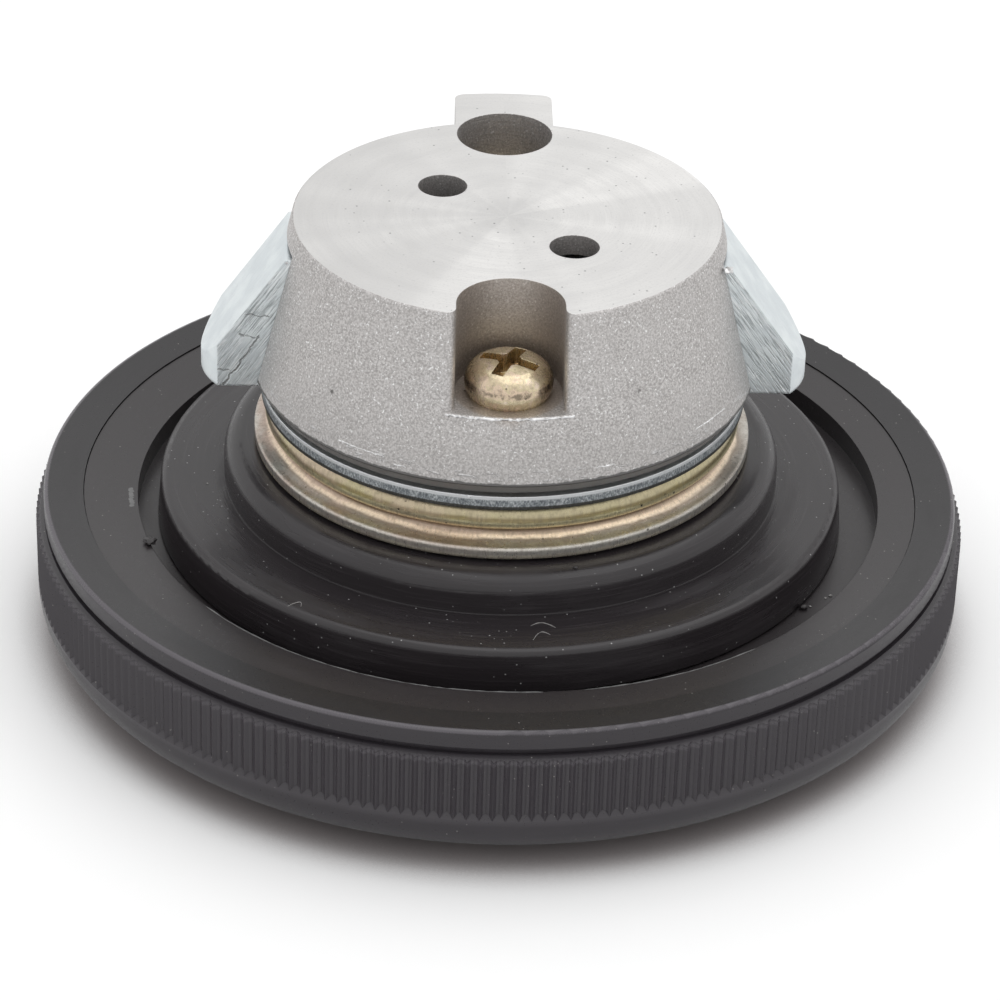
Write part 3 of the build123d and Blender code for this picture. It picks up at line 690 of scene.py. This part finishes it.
def below(node, x, y):
    """Point and normal where a plumb line at x, y meets a node."""
    return nodes[node].ray_cast(Vector((x, y, CLEAR)), DOWN)[1:3]


def on_top(node, angle, r):
    """Point and normal where a plumb line at radius r meets a node."""
    turn = math.radians(angle)
    return below(node, math.sin(turn) * r, -math.cos(turn) * r)


def add_mesh(name, mesh, material, body):
    """Shows a bmesh as a piece that rides on a body."""
    data = bpy.data.meshes.new(name)
    mesh.to_mesh(data)
    mesh.free()
    made = bpy.data.objects.new(name, data)
    bpy.context.collection.objects.link(made)
    dress(made, material)
    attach(made, body)


def ridge(name, track, width, height, material, body, seed, gaps=0.0):
    """Ragged raised line along (point, normal) pairs; gaps is the share of it worn away."""
    dice = random.Random(seed)
    mesh = bmesh.new()
    rows = []
    for i, (place, normal) in enumerate(track):
        ahead = track[min(i + 1, len(track) - 1)][0] - track[max(i - 1, 0)][0]
        across = ahead.cross(normal).normalized() * width / 2
        end = i in (0, len(track) - 1)
        rise = 0.03 if end or dice.random() < gaps else dice.uniform(0.35, 1.0)
        sway = across * dice.uniform(-0.5, 0.5)
        crest = place + normal * height * rise + sway
        foot = place - normal * height * 0.5
        section = (foot - across, crest - across * 0.25, crest + across * 0.25, foot + across)
        rows.append([mesh.verts.new(v) for v in section])
    for a, b in zip(rows, rows[1:]):
        for k in range(4):
            mesh.faces.new((a[k], a[(k + 1) % 4], b[(k + 1) % 4], b[k]))
    mesh.faces.new(rows[0][::-1])
    mesh.faces.new(rows[-1])
    bmesh.ops.recalc_face_normals(mesh, faces=mesh.faces)
    add_mesh(name, mesh, material, body)


def crumb(name, place, size, material, body, seed):
    """Small ragged lump about size metres across."""
    dice = random.Random(seed)
    mesh = bmesh.new()
    bmesh.ops.create_icosphere(mesh, subdivisions=2, radius=size / 2)
    shape = Vector((dice.uniform(0.8, 1.2), dice.uniform(0.6, 1.2), dice.uniform(0.4, 0.8)))
    for v in mesh.verts:
        v.co = v.co * shape * dice.uniform(0.6, 1.15) + place
    add_mesh(name, mesh, material, body)


def fibre(name, ends, lift, material, seed):
    """Curled dust fibre lying on the gasket between two (angle, radius) ends."""
    dice = random.Random(seed)
    (a0, r0), (a1, r1) = ends
    bow = dice.uniform(-0.9, -0.5) * MM
    track = []
    for i in range(FIBRE_STEPS + 1):
        t = i / FIBRE_STEPS
        arch = math.sin(math.pi * t)
        place, normal = on_top("gasket", a0 + (a1 - a0) * t, r0 + (r1 - r0) * t + bow * arch)
        track.append((place + normal * lift * (1 + arch), normal))
    ridge(name, track, 0.045 * MM, 0.04 * MM, material, "cap", seed)


def arc_track(node, start, stop, step, level, finder):
    """(point, normal) pairs along a node between two angles, at one height or radius."""
    count = int((stop - start) / step)
    return [finder(node, start + (stop - start) * i / count, level) for i in range(count + 1)]


def recess_track(start, stop):
    """(point, normal) pairs along the recess edge, which is off the axis, between two angles."""
    track = []
    for angle in range(start, stop + 1):
        turn = math.radians(angle)
        x, y = math.sin(turn) * RECESS_R + RECESS_OFFSET, -math.cos(turn) * RECESS_R
        track.append(below("inner_body", x, y))
    return track


def pale_edge():
    """Scuffed plastic, paler than the moulding."""
    f = Finish("pale edge")
    f.set("Base Color", f.mix(f.noise(0.6 * MM, 3), grey(0.07), grey(0.22)))
    f.set("Roughness", f.span(f.noise(0.3 * MM), 0.3, 0.7, (0.3, 0.5)))
    return f.material


def dust_white():
    """Grey-white dust."""
    f = Finish("dust")
    f.set("Base Color", f.mix(f.noise(0.1 * MM), grey(0.25, 0.03), grey(0.48, 0.02)))
    f.set("Roughness", 0.8)
    return f.material


def bright_flash():
    """Bright broken edge of the casting."""
    f = Finish("cast flash", metallic=1.0)
    f.set("Base Color", f.mix(f.noise(0.2 * MM), grey(0.62), grey(0.92)))
    f.set("Roughness", f.span(f.noise(0.2 * MM), 0.3, 0.7, (0.35, 0.55)))
    return f.material


def make_marks():
    """Flash, burrs, crumbs and fibres; each has a seed of its own."""
    flash, dust = bright_flash(), dust_white()
    plastic = nodes["inner_body"].data.materials[0]
    notch_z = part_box("screw_front")[1][2] - SCREW_HEAD
    ridge("notch_flash", arc_track("lock_housing", -15.0, 15.4, 0.6, notch_z - 0.12 * MM, on_side),
          0.42 * MM, 0.20 * MM, flash, "cap", 3, 0.1)
    for i, (start, stop, z) in enumerate(CAST_FLASHES):
        ridge("casting_flash_%d" % i, arc_track("lock_housing", start, stop, 0.5, z * MM, on_side),
              0.24 * MM, 0.11 * MM, flash, "cap", 20 + i, 0.3)
    edge = pale_edge()
    for i, (start, stop) in enumerate(RECESS_FLASHES):
        ridge("recess_flash_%d" % i, recess_track(start, stop),
              0.15 * MM, 0.08 * MM, edge, "cap", 50 + i, 0.05)
    ridge("recess_smudge", arc_track("inner_body", -88.4, -82.6, 0.3, 38.9 * MM, on_top),
          0.75 * MM, 0.03 * MM, edge, "cap", 60)
    left_corner = Vector((-22.35, -5.35, BOLT_TOP / MM - 0.25)) * MM
    crumb("bolt_burr_left", left_corner, 0.62 * MM, flash, "bolt_left", 4)
    right_corner = Vector((22.35, -6.12, BOLT_TOP / MM + 0.05)) * MM
    crumb("slot_burr_right", right_corner, 1.1 * MM, flash, "cap", 5)
    washer_edge = on_side("thrust_washer", -8.6, WASHER_TOP - 0.2 * MM)[0]
    crumb("washer_burr", washer_edge, 0.3 * MM, flash, "cap", 6)
    materials = {"plastic": plastic, "dust": dust}
    for i, (node, angle, r, size, material) in enumerate(CRUMBS):
        place, normal = on_top(node, angle, r * MM)
        crumb("crumb_%d" % i, place + normal * size * MM * 0.2, size * MM,
              materials[material], "cap", 40 + i)
    for i, ends in enumerate(FIBRES):
        fibre("dust_fibre_%d" % i, [(a, r * MM) for a, r in ends], 0.03 * MM, dust, 30 + i)


make_finishes()
make_marks()
make_world()
softbox("key", KEY_PLACE, KEY_SIZE, KEY_POWER, KEY_LOOK)
make_floor()
make_camera()
bpy.context.scene.view_settings.view_transform = "Standard"
